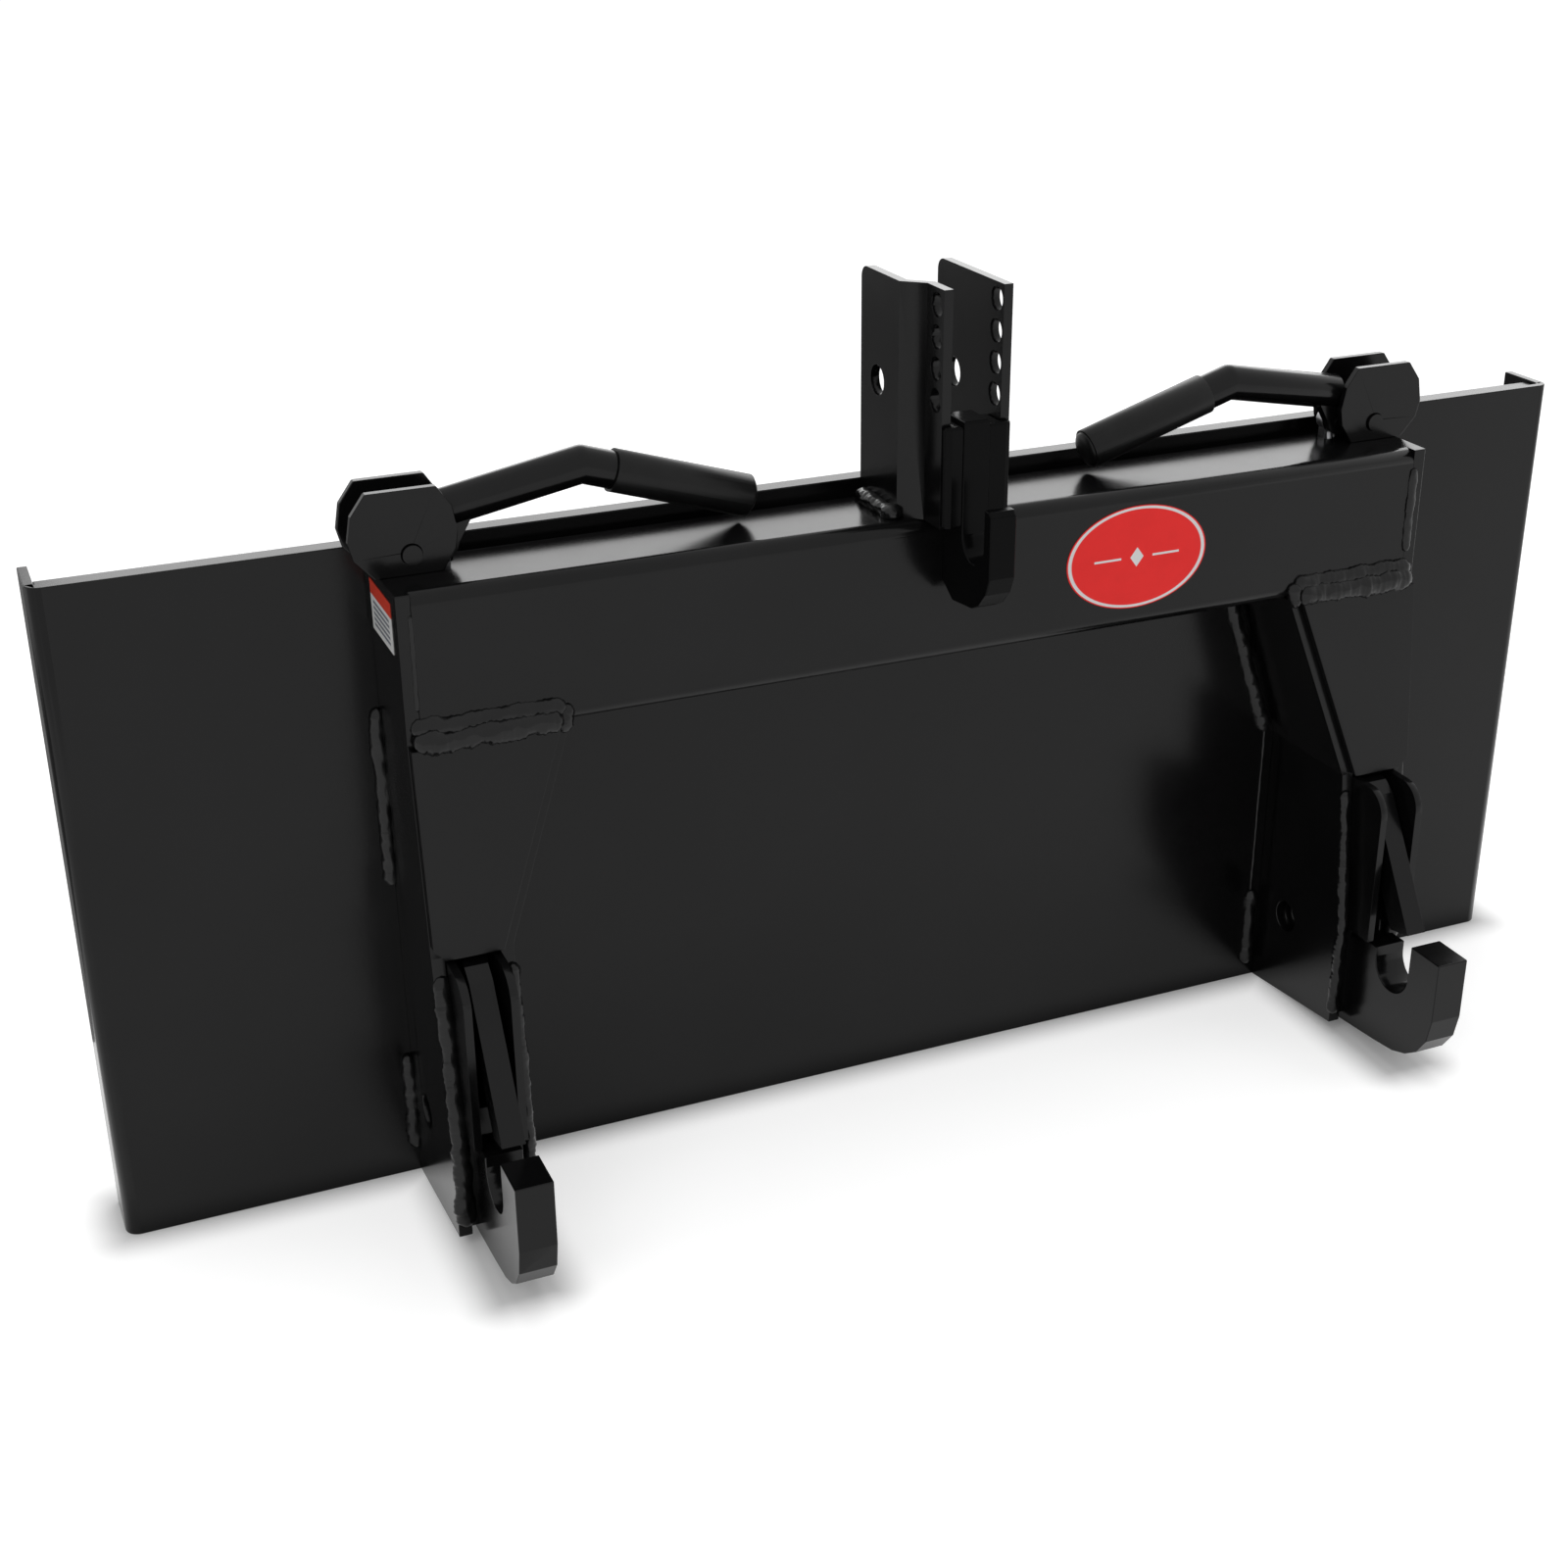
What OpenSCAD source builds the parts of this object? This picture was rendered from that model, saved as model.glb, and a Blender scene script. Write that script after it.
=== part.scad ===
// Skid steer plate with a category 1 three point hitch frame.
// Millimetres, +Z up, front faces -Y, origin on the floor under the middle of the bounding box.

/* [Skid Plate] */

// Overall width of the skid plate
plate_w = 1148; // [1050:1:1300]
// Height of the skid plate
plate_h = 475; // [470:1:560]
// Sheet thickness of the skid plate
plate_t = 6.35; // [5:0.05:8]
// How far the side flanges reach back from the front face
flange_depth = 46; // [42:1:60]
// Outer radius of the flange bends
bend_r = 10; // [9:0.5:14]
// Thickness of the slanted lip behind the top edge
lip_t = 9.5; // [8:0.5:11]
// Thickness of the ledge behind the bottom edge
ledge_t = 12.7; // [10:0.1:16]
// Height of the underside of the ledge
ledge_z = 3; // [0:0.5:10]
// Distance between the two wedge slots
wedge_spacing = 845; // [840:1:860]
// Length of a wedge slot across the plate
wedge_slot_len = 66; // [60:1:72]
// Width of a wedge slot front to back
wedge_slot_w = 25; // [22:1:26]

/* [Cross Beam] */

// How far the hitch frame sits to the side of the plate middle
hitch_x = 16.5; // [0:0.5:20]
// Depth of the cross beam front to back
beam_d = 76.2; // [76:0.1:78]
// Height of the cross beam
beam_h = 101.6; // [96:0.1:104]
// Height of the top face of the cross beam
beam_top = 464.5; // [464:0.5:468]
// Wall thickness of the cross beam
beam_wall = 6.35; // [5:0.05:8]
// Outer corner radius of the cross beam
beam_r = 9.5; // [9:0.5:11]

/* [Legs] */

// Distance from the hitch middle to the outer face of each leg
leg_outer = 382.5; // [382:0.5:386]
// Thickness of the leg side plates
side_t = 9.5; // [9:0.1:9.8]
// Thickness of the front covers
cover_t = 6; // [5:0.5:7]
// Height of the lower edge of the front covers
cover_z = 220; // [219:0.5:222]
// Clear width between the side plates of a leg
leg_gap = 37; // [35:0.5:38]
// How far the inner side plate leans in up to the beam
leg_splay = 51.5; // [45:0.5:56]
// Height at which the inner side plate starts to lean
lean_z = 220; // [214:1:224]
// Diameter of the round hole in the side plates
side_hole_d = 25; // [18:1:30]

/* [Lower Hooks] */

// Thickness of the lower hook plates
hook_t = 26; // [23:0.5:27]
// Radius of the round floor of the hook slot
throat_r = 19.5; // [17:0.5:20]
// Height of the middle of a seated hitch pin
throat_z = 82; // [81:0.5:84]
// Distance of the seated hitch pin in front of the skid plate
throat_y = 155.5; // [154:0.5:157]
// Height of the nose of the lower hooks
nose_z = 110; // [106:0.5:111]

/* [Latches] */

// Thickness of the latch
latch_t = 16; // [14:0.5:18]
// Diameter of the latch pivot pin
latch_pin_d = 14; // [12:0.5:15]
// Radial clearance of the moving pins
running = 0.05; // [0.02:0.01:0.1]
// Radial gap of the seated pins
seat = 0.15; // [0.1:0.05:0.25]

/* [Levers] */

// How far the lever pivot sits outside the middle of the leg
pivot_out = 7; // [5:0.5:8]
// Height of the lever pivot
pivot_z = 478; // [477:0.5:479]
// Diameter of the lever pivot pin
lever_pin_d = 12.7; // [10:0.1:14]
// Diameter of the lever tube
tube_d = 25; // [22:0.5:25]
// Diameter of the hand grip
grip_d = 28.5; // [28:0.5:32]
// Length of the hand grip
grip_l = 98; // [80:1:105]
// Distance from the lever pivot to the rod pin
crank_r = 24; // [23.5:0.5:25]
// Thickness of the octagonal ears
ear_t = 5; // [4:0.5:5.5]
// Clear gap between a pair of ears
ear_gap = 26; // [25.8:0.1:27]

/* [Top Link] */

// Height of the mast plates above the beam
mast_h = 157.5; // [150:0.5:180]
// Thickness of the mast plates
mast_t = 6.4; // [5:0.1:8]
// Distance from the hitch middle to the outer face of the bent plate at the rear
mast_wide = 36.5; // [34:0.5:38]
// Distance from the hitch middle to the outer face of the bent plate at the front
mast_narrow = 22.7; // [22:0.1:24]
// Distance from the hitch middle to the outer face of the flat plate
mast_flat = 26.3; // [25:0.1:28]
// Diameter of the four small holes
pin_hole_d = 16; // [12:0.5:17]
// Distance between the small holes
pin_hole_pitch = 20.7; // [19:0.1:21]
// Diameter of the large hole
big_hole_d = 20.5; // [16:0.5:26]
// Thickness of the top hook
top_hook_t = 19; // [16:0.5:20]
// Radius of the round floor of the top hook slot
top_slot_r = 15; // [13:0.5:15.5]

/* [Hidden] */

$fn = 64;
beam_bottom = beam_top - beam_h;
leg_inner = leg_outer - 2 * side_t - leg_gap;
leg_spread = leg_inner - leg_splay;
cheek_t = (leg_gap - hook_t) / 2;
leg_mid = (leg_outer + leg_inner) / 2;
pivot_x = leg_mid + pivot_out;
mast_top = beam_top + mast_h;
hook_front = throat_y + 52.5;
frame_y = (hook_front - flange_depth) / 2;
lean = leg_splay / (beam_bottom - lean_z);
side_front_y = 107;
side_mid_y = 92;
side_low_z = 100;
side_foot_z = 11;
side_hole_y = 38;
side_hole_z = 72;
cheek_y = 131;
cheek_z = cover_z - 3;
cheek_corner = 20;
latch_y = 66;
latch_z = 214;
latch_turn = 14;
lever_turn = 25;
rod_travel = crank_r * lever_turn * 3.14159 / 180 * 0.98;
tail_arm = rod_travel / (2 * sin(latch_turn / 2));
tail_y = latch_y - tail_arm * cos(latch_turn / 2);
tail_z = latch_z - rod_travel / 2;
tail_pin_d = 8;
tail_t = latch_t / 2;
eye_t = 7;
rod_d = 10;
ear_mid_y = 23;
crank_t = 8;
crank_pin_d = 8;
crank_y = ear_mid_y + 4;
upper_eye_t = 8;
upper_eye_y = crank_y - crank_t / 2 - 1.5 - upper_eye_t / 2;
arm_up = 17;
arm_in = 118;
arm_rise = 38.7;
hand_in = 229;
hand_rise = 4;
rod_low_x = leg_mid + 1 + rod_d / 2;
rod_low_z = tail_z + 9;
rod_top_x = pivot_x - crank_r;
rod_top_z = pivot_z - 9;
top_slot_y = beam_d + 42.3;
top_slot_z = beam_top - 3.5;
hook_upright_z = beam_top + 72.5;
mast_front = beam_d + 20.8;
steel = [0.15, 0.15, 0.15];
weld = [0.2, 0.2, 0.2];
black = [0.05, 0.05, 0.05];
bare = [0.5, 0.5, 0.52];

// Shared placing

module at_plate() {
    translate([0, frame_y, 0]) children();
}

module at_hitch() {
    translate([hitch_x, frame_y, 0]) children();
}

module on_side(s) {
    at_hitch() mirror([s < 0 ? 1 : 0, 0, 0]) children();
}

// Outline given as distance in front of the plate and height, pushed out along X
module slab(x0, x1) {
    translate([x0, 0, 0])
        rotate([90, 0, 90])
            linear_extrude(height = x1 - x0)
                mirror([1, 0, 0]) children();
}

// Outline given in X and height, pushed out along -Y
module wall(y0, y1) {
    translate([0, -y0, 0])
        rotate([90, 0, 0])
            linear_extrude(height = y1 - y0)
                children();
}

module pin_x(x0, x1, y, z, d) {
    translate([x0, -y, z])
        rotate([0, 90, 0])
            cylinder(h = x1 - x0, d = d);
}

module pin_y(x, z, y0, y1, d) {
    translate([x, -y0, z])
        rotate([90, 0, 0])
            cylinder(h = y1 - y0, d = d);
}

// Middle of the release rod at a given height
function rod_share(z) = (z - rod_low_z) / (rod_top_z - rod_low_z);
function rod_x(z) = rod_low_x + (rod_top_x - rod_low_x) * rod_share(z);
function rod_y(z) = tail_y + (upper_eye_y - tail_y) * rod_share(z);

// Skid plate

module skid_plate() {
    inner_r = bend_r - plate_t;
    color(steel) at_plate() linear_extrude(height = plate_h) difference() {
        union() {
            translate([-plate_w / 2 + bend_r, 0]) square([plate_w - 2 * bend_r, bend_r]);
            translate([-plate_w / 2, bend_r]) square([plate_w, flange_depth - bend_r]);
            for (s = [-1, 1])
                translate([s * (plate_w / 2 - bend_r), bend_r]) circle(r = bend_r);
        }
        translate([-plate_w / 2 + bend_r, plate_t]) square([plate_w - 2 * bend_r, inner_r + 1]);
        translate([-plate_w / 2 + plate_t, bend_r]) square([plate_w - 2 * plate_t, flange_depth]);
        for (s = [-1, 1])
            translate([s * (plate_w / 2 - bend_r), bend_r]) circle(r = inner_r);
    }
}

// Room between the flanges, with the corners kept off the inside of the bends
module inside_outline() {
    half = plate_w / 2 - plate_t - 0.5;
    cut = bend_r - plate_t;
    polygon([
        [-half, flange_depth],
        [-half, plate_t + cut],
        [-half + cut, plate_t],
        [half - cut, plate_t],
        [half, plate_t + cut],
        [half, flange_depth]
    ]);
}

module top_lip() {
    top = plate_h - 2;
    fold = 34;
    color(steel) at_plate() intersection() {
        linear_extrude(height = plate_h) inside_outline();
        slab(-plate_w / 2, plate_w / 2) polygon([
            [-plate_t, top],
            [-plate_t - 14, top],
            [-flange_depth, top - fold],
            [-flange_depth, top - fold - lip_t * 1.5],
            [-plate_t - 12, top - lip_t],
            [-plate_t, top - lip_t]
        ]);
    }
}

module bottom_ledge() {
    slot_y = (plate_t + flange_depth) / 2 + 0.5;
    straight = wedge_slot_len - wedge_slot_w;
    color(steel) at_plate() difference() {
        translate([0, 0, ledge_z]) linear_extrude(height = ledge_t) inside_outline();
        for (s = [-1, 1])
            translate([s * wedge_spacing / 2, slot_y, ledge_z - 1]) linear_extrude(height = ledge_t + 2) {
                square([straight, wedge_slot_w], center = true);
                for (a = [-1, 1])
                    translate([a * straight / 2, 0]) circle(d = wedge_slot_w);
            }
    }
}

// Cross beam

module round_box(d, h, r) {
    translate([0, r]) square([d, h - 2 * r]);
    translate([r, 0]) square([d - 2 * r, h]);
    for (a = [r, d - r])
        for (b = [r, h - r])
            translate([a, b]) circle(r = r);
}

module beam_bar(x0, x1) {
    slab(x0, x1) translate([0, beam_bottom]) round_box(beam_d, beam_h, beam_r);
}

module cross_beam() {
    end = leg_outer - side_t;
    bore_r = rod_d / 2 + 3.5;
    top_z = beam_top - beam_wall;
    color(steel) at_hitch() difference() {
        beam_bar(-end, end);
        slab(-end - 1, end + 1) translate([beam_wall, beam_bottom + beam_wall])
            round_box(beam_d - 2 * beam_wall, beam_h - 2 * beam_wall, beam_r - beam_wall);
        for (s = [-1, 1])
            mirror([s < 0 ? 1 : 0, 0, 0]) {
                translate([rod_x(top_z), -rod_y(top_z), top_z - 2])
                    cylinder(h = beam_wall + 4, r = bore_r);
                translate([rod_x(beam_bottom), -rod_y(beam_bottom), beam_bottom - 2])
                    cylinder(h = beam_wall + 4, r = bore_r);
            }
    }
}

// Legs

module side_outline(top) {
    polygon([
        [0, 0],
        [0, top],
        [beam_d, top],
        [beam_d, beam_bottom],
        [side_mid_y, cover_z],
        [side_front_y, side_low_z],
        [side_front_y, side_foot_z]
    ]);
}

module outer_side(s) {
    color(steel) on_side(s) difference() {
        slab(leg_outer - side_t, leg_outer) side_outline(beam_top);
        pin_x(leg_outer - side_t - 1, leg_outer + 1, side_hole_y, side_hole_z, side_hole_d);
    }
}

module inner_side(s) {
    color(steel) on_side(s) difference() {
        intersection() {
            slab(0, leg_outer) side_outline(beam_bottom);
            wall(-1, side_front_y + 5) polygon([
                [leg_inner, -1],
                [leg_inner, lean_z],
                [leg_spread, beam_bottom + 1],
                [leg_spread + side_t, beam_bottom + 1],
                [leg_inner + side_t, lean_z],
                [leg_inner + side_t, -1]
            ]);
        }
        pin_x(leg_inner - 1, leg_inner + side_t + 1, side_hole_y, side_hole_z, side_hole_d);
    }
}

module cover_body() {
    inset = 8;
    top = beam_bottom;
    corner = 8;
    intersection() {
        slab(0, leg_outer) polygon([
            [beam_d, top],
            [side_mid_y, cover_z],
            [side_mid_y + cover_t, cover_z],
            [beam_d + cover_t, top]
        ]);
        wall(0, side_front_y + 5) polygon([
            [leg_inner + inset - lean * (cover_z - lean_z), cover_z],
            [leg_spread + inset, top],
            [leg_outer - 1, top],
            [leg_outer - 1, cover_z + corner],
            [leg_outer - 1 - corner, cover_z]
        ]);
    }
}

module cover(s) {
    color(steel) on_side(s) cover_body();
}

module seam(s) {
    color(weld) on_side(s) difference() {
        slab(leg_spread + 2, leg_outer - side_t) polygon([
            [beam_d - beam_r, beam_bottom],
            [beam_d, beam_top - 78],
            [beam_d + 5, beam_top - 80],
            [beam_d + 9, beam_top - 88],
            [beam_d + 10, beam_top - 97],
            [beam_d + 9, beam_bottom - 2],
            [beam_d + cover_t, beam_bottom - 5],
            [beam_d, beam_bottom]
        ]);
        beam_bar(0, leg_outer);
        cover_body();
    }
}

// Triangular weld along a straight joint, standing from one height to another
module corner_bead(x0, z0, x1, z1, leg) {
    multmatrix([[1, 0, (x1 - x0) / (z1 - z0), x0], [0, 1, 0, 0], [0, 0, 1, z0], [0, 0, 0, 1]])
        linear_extrude(height = z1 - z0)
            polygon([[0, 0], [leg, 0], [leg * 0.72, -leg * 0.45], [leg * 0.45, -leg * 0.72], [0, -leg]]);
}

module outer_weld(s) {
    color(weld) on_side(s) corner_bead(leg_outer, cover_z + 20, leg_outer, beam_bottom + 2, 6);
}

module outer_foot_weld(s) {
    color(weld) on_side(s) corner_bead(leg_outer, side_foot_z + 19, leg_outer, side_low_z, 6);
}

module inner_weld(s) {
    low = lean_z + 2;
    top = beam_bottom - 30;
    color(weld) on_side(s) mirror([1, 0, 0])
        corner_bead(-leg_inner + lean * (low - lean_z), low, -leg_inner + lean * (top - lean_z), top, 6);
}

module inner_foot_weld(s) {
    color(weld) on_side(s) mirror([1, 0, 0])
        corner_bead(-leg_inner, side_foot_z - 1, -leg_inner, side_low_z - 18, 6);
}

// Lower hooks and latches

module hook(s) {
    color(steel) on_side(s) slab(leg_mid - hook_t / 2, leg_mid + hook_t / 2) difference() {
            polygon([
                [0, 1],
                [side_front_y - 6, side_foot_z - 3],
                [throat_y - 12.5, throat_z - 70],
                [throat_y + 11.5, throat_z - 67],
                [throat_y + 26.5, throat_z - 61.6],
                [throat_y + 38.5, throat_z - 53.5],
                [hook_front - 4, throat_z - 39],
                [hook_front, throat_z - 20],
                [hook_front, nose_z],
                [throat_y, nose_z],
                [throat_y, throat_z + 8],
                [throat_y - 34.5, throat_z + 8],
                [throat_y - 43.5, throat_z + 2],
                [throat_y - 55.5, throat_z + 2],
                [side_mid_y, side_low_z],
                [0, side_low_z]
            ]);
        translate([side_hole_y, side_hole_z]) circle(d = side_hole_d);
        translate([throat_y, throat_z]) circle(r = throat_r);
        translate([throat_y - throat_r, throat_z]) square([2 * throat_r, nose_z]);
    }
}

module cheek_outline() {
    back = 10;
    polygon([
        [back, 16],
        [side_front_y - 3, 16],
        [side_front_y - 3, 93],
        [cheek_y, 93],
        [cheek_y, cheek_z - cheek_corner],
        [cheek_y - cheek_corner, cheek_z],
        [side_mid_y - 4, cheek_z],
        [side_mid_y - 6, cheek_z + 18],
        [back, cheek_z + 18]
    ]);
    translate([cheek_y - cheek_corner, cheek_z - cheek_corner]) circle(r = cheek_corner);
}

module cheek_body(x0) {
    difference() {
        slab(x0, x0 + cheek_t) cheek_outline();
        pin_x(x0 - 1, x0 + cheek_t + 1, latch_y, latch_z, latch_pin_d + 2 * seat);
        pin_x(x0 - 1, x0 + cheek_t + 1, side_hole_y, side_hole_z, side_hole_d);
    }
}

module outer_cheek(s) {
    color(steel) on_side(s) cheek_body(leg_outer - side_t - cheek_t);
}

module inner_cheek(s) {
    color(steel) on_side(s) cheek_body(leg_inner + side_t);
}

module latch(s) {
    boss = 15;
    end_r = 9;
    color(steel) on_side(s) difference() {
        union() {
            slab(leg_mid - latch_t / 2, leg_mid + latch_t / 2) {
                polygon([
                    [throat_y + 8.1, throat_z + 30.5],
                    [throat_y - 12.5, throat_z + 26],
                    [latch_y + 28, latch_z - 24],
                    [latch_y, latch_z - boss],
                    [latch_y, latch_z + boss * 0.5],
                    [latch_y + 32, latch_z - 1],
                    [latch_y + 42, latch_z - 8]
                ]);
                translate([latch_y, latch_z]) circle(r = boss);
            }
            slab(leg_mid - latch_t / 2, leg_mid - latch_t / 2 + tail_t) {
                polygon([
                    [latch_y, latch_z - boss],
                    [latch_y, latch_z + boss],
                    [tail_y, tail_z + end_r],
                    [tail_y, tail_z - end_r]
                ]);
                translate([tail_y, tail_z]) circle(r = end_r);
            }
        }
        pin_x(0, leg_outer, latch_y, latch_z, latch_pin_d + 2 * running);
        pin_x(0, leg_outer, tail_y, tail_z, tail_pin_d + 2 * seat);
    }
}

module latch_pin(s) {
    color(bare) on_side(s)
        pin_x(leg_inner + side_t + 0.3, leg_outer - side_t - 0.3, latch_y, latch_z, latch_pin_d);
}

module tail_pin(s) {
    color(bare) on_side(s)
        pin_x(leg_mid - latch_t / 2, rod_low_x + eye_t / 2 + 1, tail_y, tail_z, tail_pin_d);
}

// Release rods

module rod(s) {
    eye_r = 8;
    slip = 3;
    slot_d = crank_pin_d + 1.4;
    span = rod_top_z - rod_low_z;
    dx = rod_top_x - rod_low_x;
    dy = tail_y - upper_eye_y;
    len = sqrt(span * span + dx * dx + dy * dy);
    color(bare) on_side(s) difference() {
        union() {
            translate([rod_low_x, -tail_y, rod_low_z])
                rotate([0, acos(span / len), atan2(dy, dx)])
                    cylinder(h = len, d = rod_d);
            slab(rod_low_x - eye_t / 2, rod_low_x + eye_t / 2) {
                translate([tail_y, tail_z]) circle(r = 10);
                translate([tail_y - rod_d / 2, tail_z]) square([rod_d, 14]);
            }
            wall(upper_eye_y - upper_eye_t / 2, upper_eye_y + upper_eye_t / 2) {
                translate([rod_top_x, pivot_z]) circle(r = eye_r);
                translate([rod_top_x + slip, pivot_z]) circle(r = eye_r);
                translate([rod_top_x - rod_d / 2, pivot_z - 16]) square([rod_d, 14]);
            }
        }
        pin_x(0, leg_outer, tail_y, tail_z, tail_pin_d + 1.8);
        wall(-5, 60) {
            translate([rod_top_x, pivot_z]) circle(d = slot_d);
            translate([rod_top_x + slip, pivot_z]) circle(d = slot_d);
            translate([rod_top_x, pivot_z - slot_d / 2]) square([slip, slot_d]);
        }
    }
}

// Levers

module ear_outline() {
    foot = beam_top - pivot_z;
    difference() {
        translate([pivot_x, pivot_z]) polygon([
            [-18.5, 42],
            [-27.5, 28.5],
            [-30.5, 12],
            [-28.5, 0],
            [-19.5, foot],
            [24.5, foot],
            [36.5, 0],
            [39.5, 12],
            [36.5, 28.5],
            [26.5, 42]
        ]);
        translate([pivot_x, pivot_z]) circle(d = lever_pin_d + 2 * seat);
    }
}

module front_ear(s) {
    face = ear_mid_y + ear_gap / 2;
    color(steel) on_side(s) wall(face, face + ear_t) ear_outline();
}

module rear_ear(s) {
    face = ear_mid_y - ear_gap / 2;
    color(steel) on_side(s) wall(face - ear_t, face) ear_outline();
}

// Straight round bar between two points of the lever plane
module lever_bar(x0, z0, x1, z1, d) {
    len = sqrt((x1 - x0) * (x1 - x0) + (z1 - z0) * (z1 - z0));
    translate([x0, -ear_mid_y, z0])
        rotate([0, atan2(x1 - x0, z1 - z0), 0])
            cylinder(h = len, d = d);
}

module lever(s) {
    start_in = 26;
    start_z = pivot_z + arm_up + (arm_rise - arm_up) * start_in / arm_in;
    bend_x = pivot_x - arm_in;
    bend_z = pivot_z + arm_rise;
    hub_r = 11;
    play = 0.4;
    color(steel) on_side(s) difference() {
        union() {
            lever_bar(pivot_x - start_in, start_z, bend_x, bend_z, tube_d);
            translate([bend_x, -ear_mid_y, bend_z]) sphere(d = tube_d);
            lever_bar(bend_x, bend_z, pivot_x - hand_in, pivot_z + hand_rise, tube_d);
            pin_y(pivot_x, pivot_z, ear_mid_y - ear_gap / 2 + play, ear_mid_y + ear_gap / 2 - play, 2 * hub_r);
            wall(crank_y - crank_t / 2, crank_y + crank_t / 2) {
                polygon([
                    [pivot_x + 6, pivot_z + 9],
                    [pivot_x - start_in, start_z + 8],
                    [pivot_x - start_in - 20, start_z + 8],
                    [pivot_x - start_in - 20, start_z],
                    [rod_top_x - 9, pivot_z],
                    [rod_top_x, pivot_z - 9],
                    [pivot_x, pivot_z - hub_r]
                ]);
                translate([rod_top_x, pivot_z]) circle(r = 9);
            }
        }
        pin_y(pivot_x, pivot_z, -10, 60, lever_pin_d + 2 * running);
        pin_y(rod_top_x, pivot_z, -10, 60, crank_pin_d + 2 * seat);
    }
}

module crank_pin(s) {
    color(bare) on_side(s)
        pin_y(rod_top_x, pivot_z, upper_eye_y - upper_eye_t / 2, crank_y + crank_t / 2 + 1, crank_pin_d);
}

module lever_pin(s) {
    out = 2;
    half = ear_gap / 2 + ear_t + out;
    color(bare) on_side(s) pin_y(pivot_x, pivot_z, ear_mid_y - half, ear_mid_y + half, lever_pin_d);
}

module grip(s) {
    cap = 3;
    drop = atan2(arm_rise - hand_rise, hand_in - arm_in);
    far_x = pivot_x - hand_in - cap * cos(drop);
    far_z = pivot_z + hand_rise - cap * sin(drop);
    near_x = far_x + grip_l * cos(drop);
    near_z = far_z + grip_l * sin(drop);
    color(black) on_side(s) difference() {
        lever_bar(far_x, far_z, near_x, near_z, grip_d);
        lever_bar(pivot_x - hand_in - 0.2 * cos(drop), pivot_z + hand_rise - 0.2 * sin(drop),
                  pivot_x - arm_in, pivot_z + arm_rise, tube_d + 2 * seat);
    }
}

// Mast and top hook

function mast_rear(s) = s < 0 ? mast_wide : mast_flat;
function mast_fore(s) = s < 0 ? mast_narrow : mast_flat;

module mast(s) {
    back = 2;
    bend_1 = beam_d - 16.2;
    bend_2 = beam_d - 3.2;
    big_hole_y = 28;
    big_hole_z = mast_top - 72;
    small_y = mast_front - 10;
    small_z = mast_top - 11;
    corner = 8;
    wide = mast_rear(s);
    narrow = mast_fore(s);
    color(steel) on_side(s) difference() {
        translate([0, 0, beam_top]) linear_extrude(height = mast_top - beam_top) polygon([
            [wide, -back],
            [wide, -bend_1],
            [narrow, -bend_2],
            [narrow, -mast_front],
            [narrow - mast_t, -mast_front],
            [narrow - mast_t, -bend_2 + 2],
            [wide - mast_t, -bend_1 + 2],
            [wide - mast_t, -back]
        ]);
        pin_x(0, wide + 1, big_hole_y, big_hole_z, big_hole_d);
        for (i = [0:3])
            pin_x(0, narrow + 1, small_y, small_z - i * pin_hole_pitch, pin_hole_d);
        slab(0, wide + 1) difference() {
            translate([back - 1, mast_top - corner]) square([corner + 1, corner + 1]);
            translate([back + corner, mast_top - corner]) circle(r = corner);
        }
    }
}

module top_hook() {
    arm_y = top_slot_y + 24.5;
    tip_z = beam_top + 22.5;
    upright_y = top_slot_y - top_slot_r;
    color(steel) at_hitch() slab(-top_hook_t / 2, top_hook_t / 2) difference() {
        polygon([
            [beam_d, hook_upright_z],
            [upright_y, hook_upright_z],
            [upright_y, tip_z],
            [arm_y - 3, tip_z],
            [arm_y, tip_z - 3],
            [arm_y, top_slot_z - 19],
            [arm_y - 5, top_slot_z - 31],
            [arm_y - 14, top_slot_z - 41],
            [arm_y - 25, top_slot_z - 46.5],
            [beam_d + 14.8, top_slot_z - 49.5],
            [beam_d, top_slot_z - 40]
        ]);
        translate([top_slot_y, top_slot_z]) circle(r = top_slot_r);
        translate([top_slot_y - top_slot_r, top_slot_z]) square([2 * top_slot_r, mast_top]);
    }
}

// Thick weld between the hook and the front edge of a mast plate
module hook_strip(s) {
    near = top_hook_t / 2;
    far = mast_fore(s);
    proud = 6;
    color(weld) on_side(s) translate([0, 0, beam_top + 1]) linear_extrude(height = hook_upright_z - beam_top - 4)
        polygon([
            [near, -beam_d - 1],
            [far - mast_t, -beam_d - 1],
            [far - mast_t, -mast_front],
            [far, -mast_front],
            [far - 0.5, -mast_front - proud * 0.6],
            [far - 2.5, -mast_front - proud * 0.9],
            [far - 5, -mast_front - proud],
            [near, -mast_front - proud * 0.9]
        ]);
}

module mast_weld(s) {
    leg = 7;
    color(weld) on_side(s) translate([mast_rear(s), -8, beam_top]) rotate([90, 0, 0]) linear_extrude(height = 50)
        polygon([[0, 0], [leg, 0], [leg * 0.72, leg * 0.3], [leg * 0.3, leg * 0.72], [0, leg]]);
}

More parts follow.
